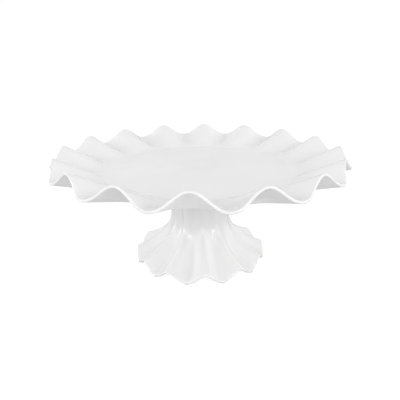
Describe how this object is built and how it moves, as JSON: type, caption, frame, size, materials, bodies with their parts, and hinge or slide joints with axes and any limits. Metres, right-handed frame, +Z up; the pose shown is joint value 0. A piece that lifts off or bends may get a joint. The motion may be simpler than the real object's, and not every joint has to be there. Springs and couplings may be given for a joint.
{
  "type": "cake stand",
  "caption": "Round pedestal cake stand: a plate with a flat well and a deeply waved flange, clamped by a central screw to a hollow fluted foot with a scalloped edge.",
  "frame": {"origin": "centre of the foot on the table surface, at the bottom of the pads", "axes": "+Z up along the stand's axis through foot, pedestal and plate; -Y is the front"},
  "size_m": [0.3136, 0.3136, 0.1298],
  "materials": {
    "glaze_plate": "gloss white glaze",
    "glaze_pedestal": "gloss white glaze",
    "silicone_gasket": "matt translucent white silicone",
    "brass_insert": "turned brass",
    "steel_screw": "zinc plated steel",
    "steel_washer": "zinc plated steel",
    "silicone_cushion": "matt translucent white silicone",
    "silicone_pads": "clear silicone"
  },
  "bodies": {
    "stand": {"ruffled_plate": "glaze_plate", "fluted_pedestal": "glaze_pedestal", "joint_gasket": "silicone_gasket", "threaded_insert": "brass_insert", "foot_pads": "silicone_pads"},
    "washers": {"steel_washer": "steel_washer", "cushion_washer": "silicone_cushion"},
    "screw": {"clamp_screw": "steel_screw"}
  },
  "joints": [
    {"name": "screw_travel", "type": "slide", "parent": "stand", "child": "washers", "axis": [0, 0, -1], "range_m": [0, 0.0085]},
    {"name": "screw_turn", "type": "hinge", "parent": "washers", "child": "screw", "pos_m": [0, 0, 0.0861], "axis": [0, 0, -1], "range_deg": [0, 3062]}
  ],
  "couplings": [
    {"joint": "screw_turn", "follows": "screw_travel", "rad_per_m": 6283.2}
  ]
}
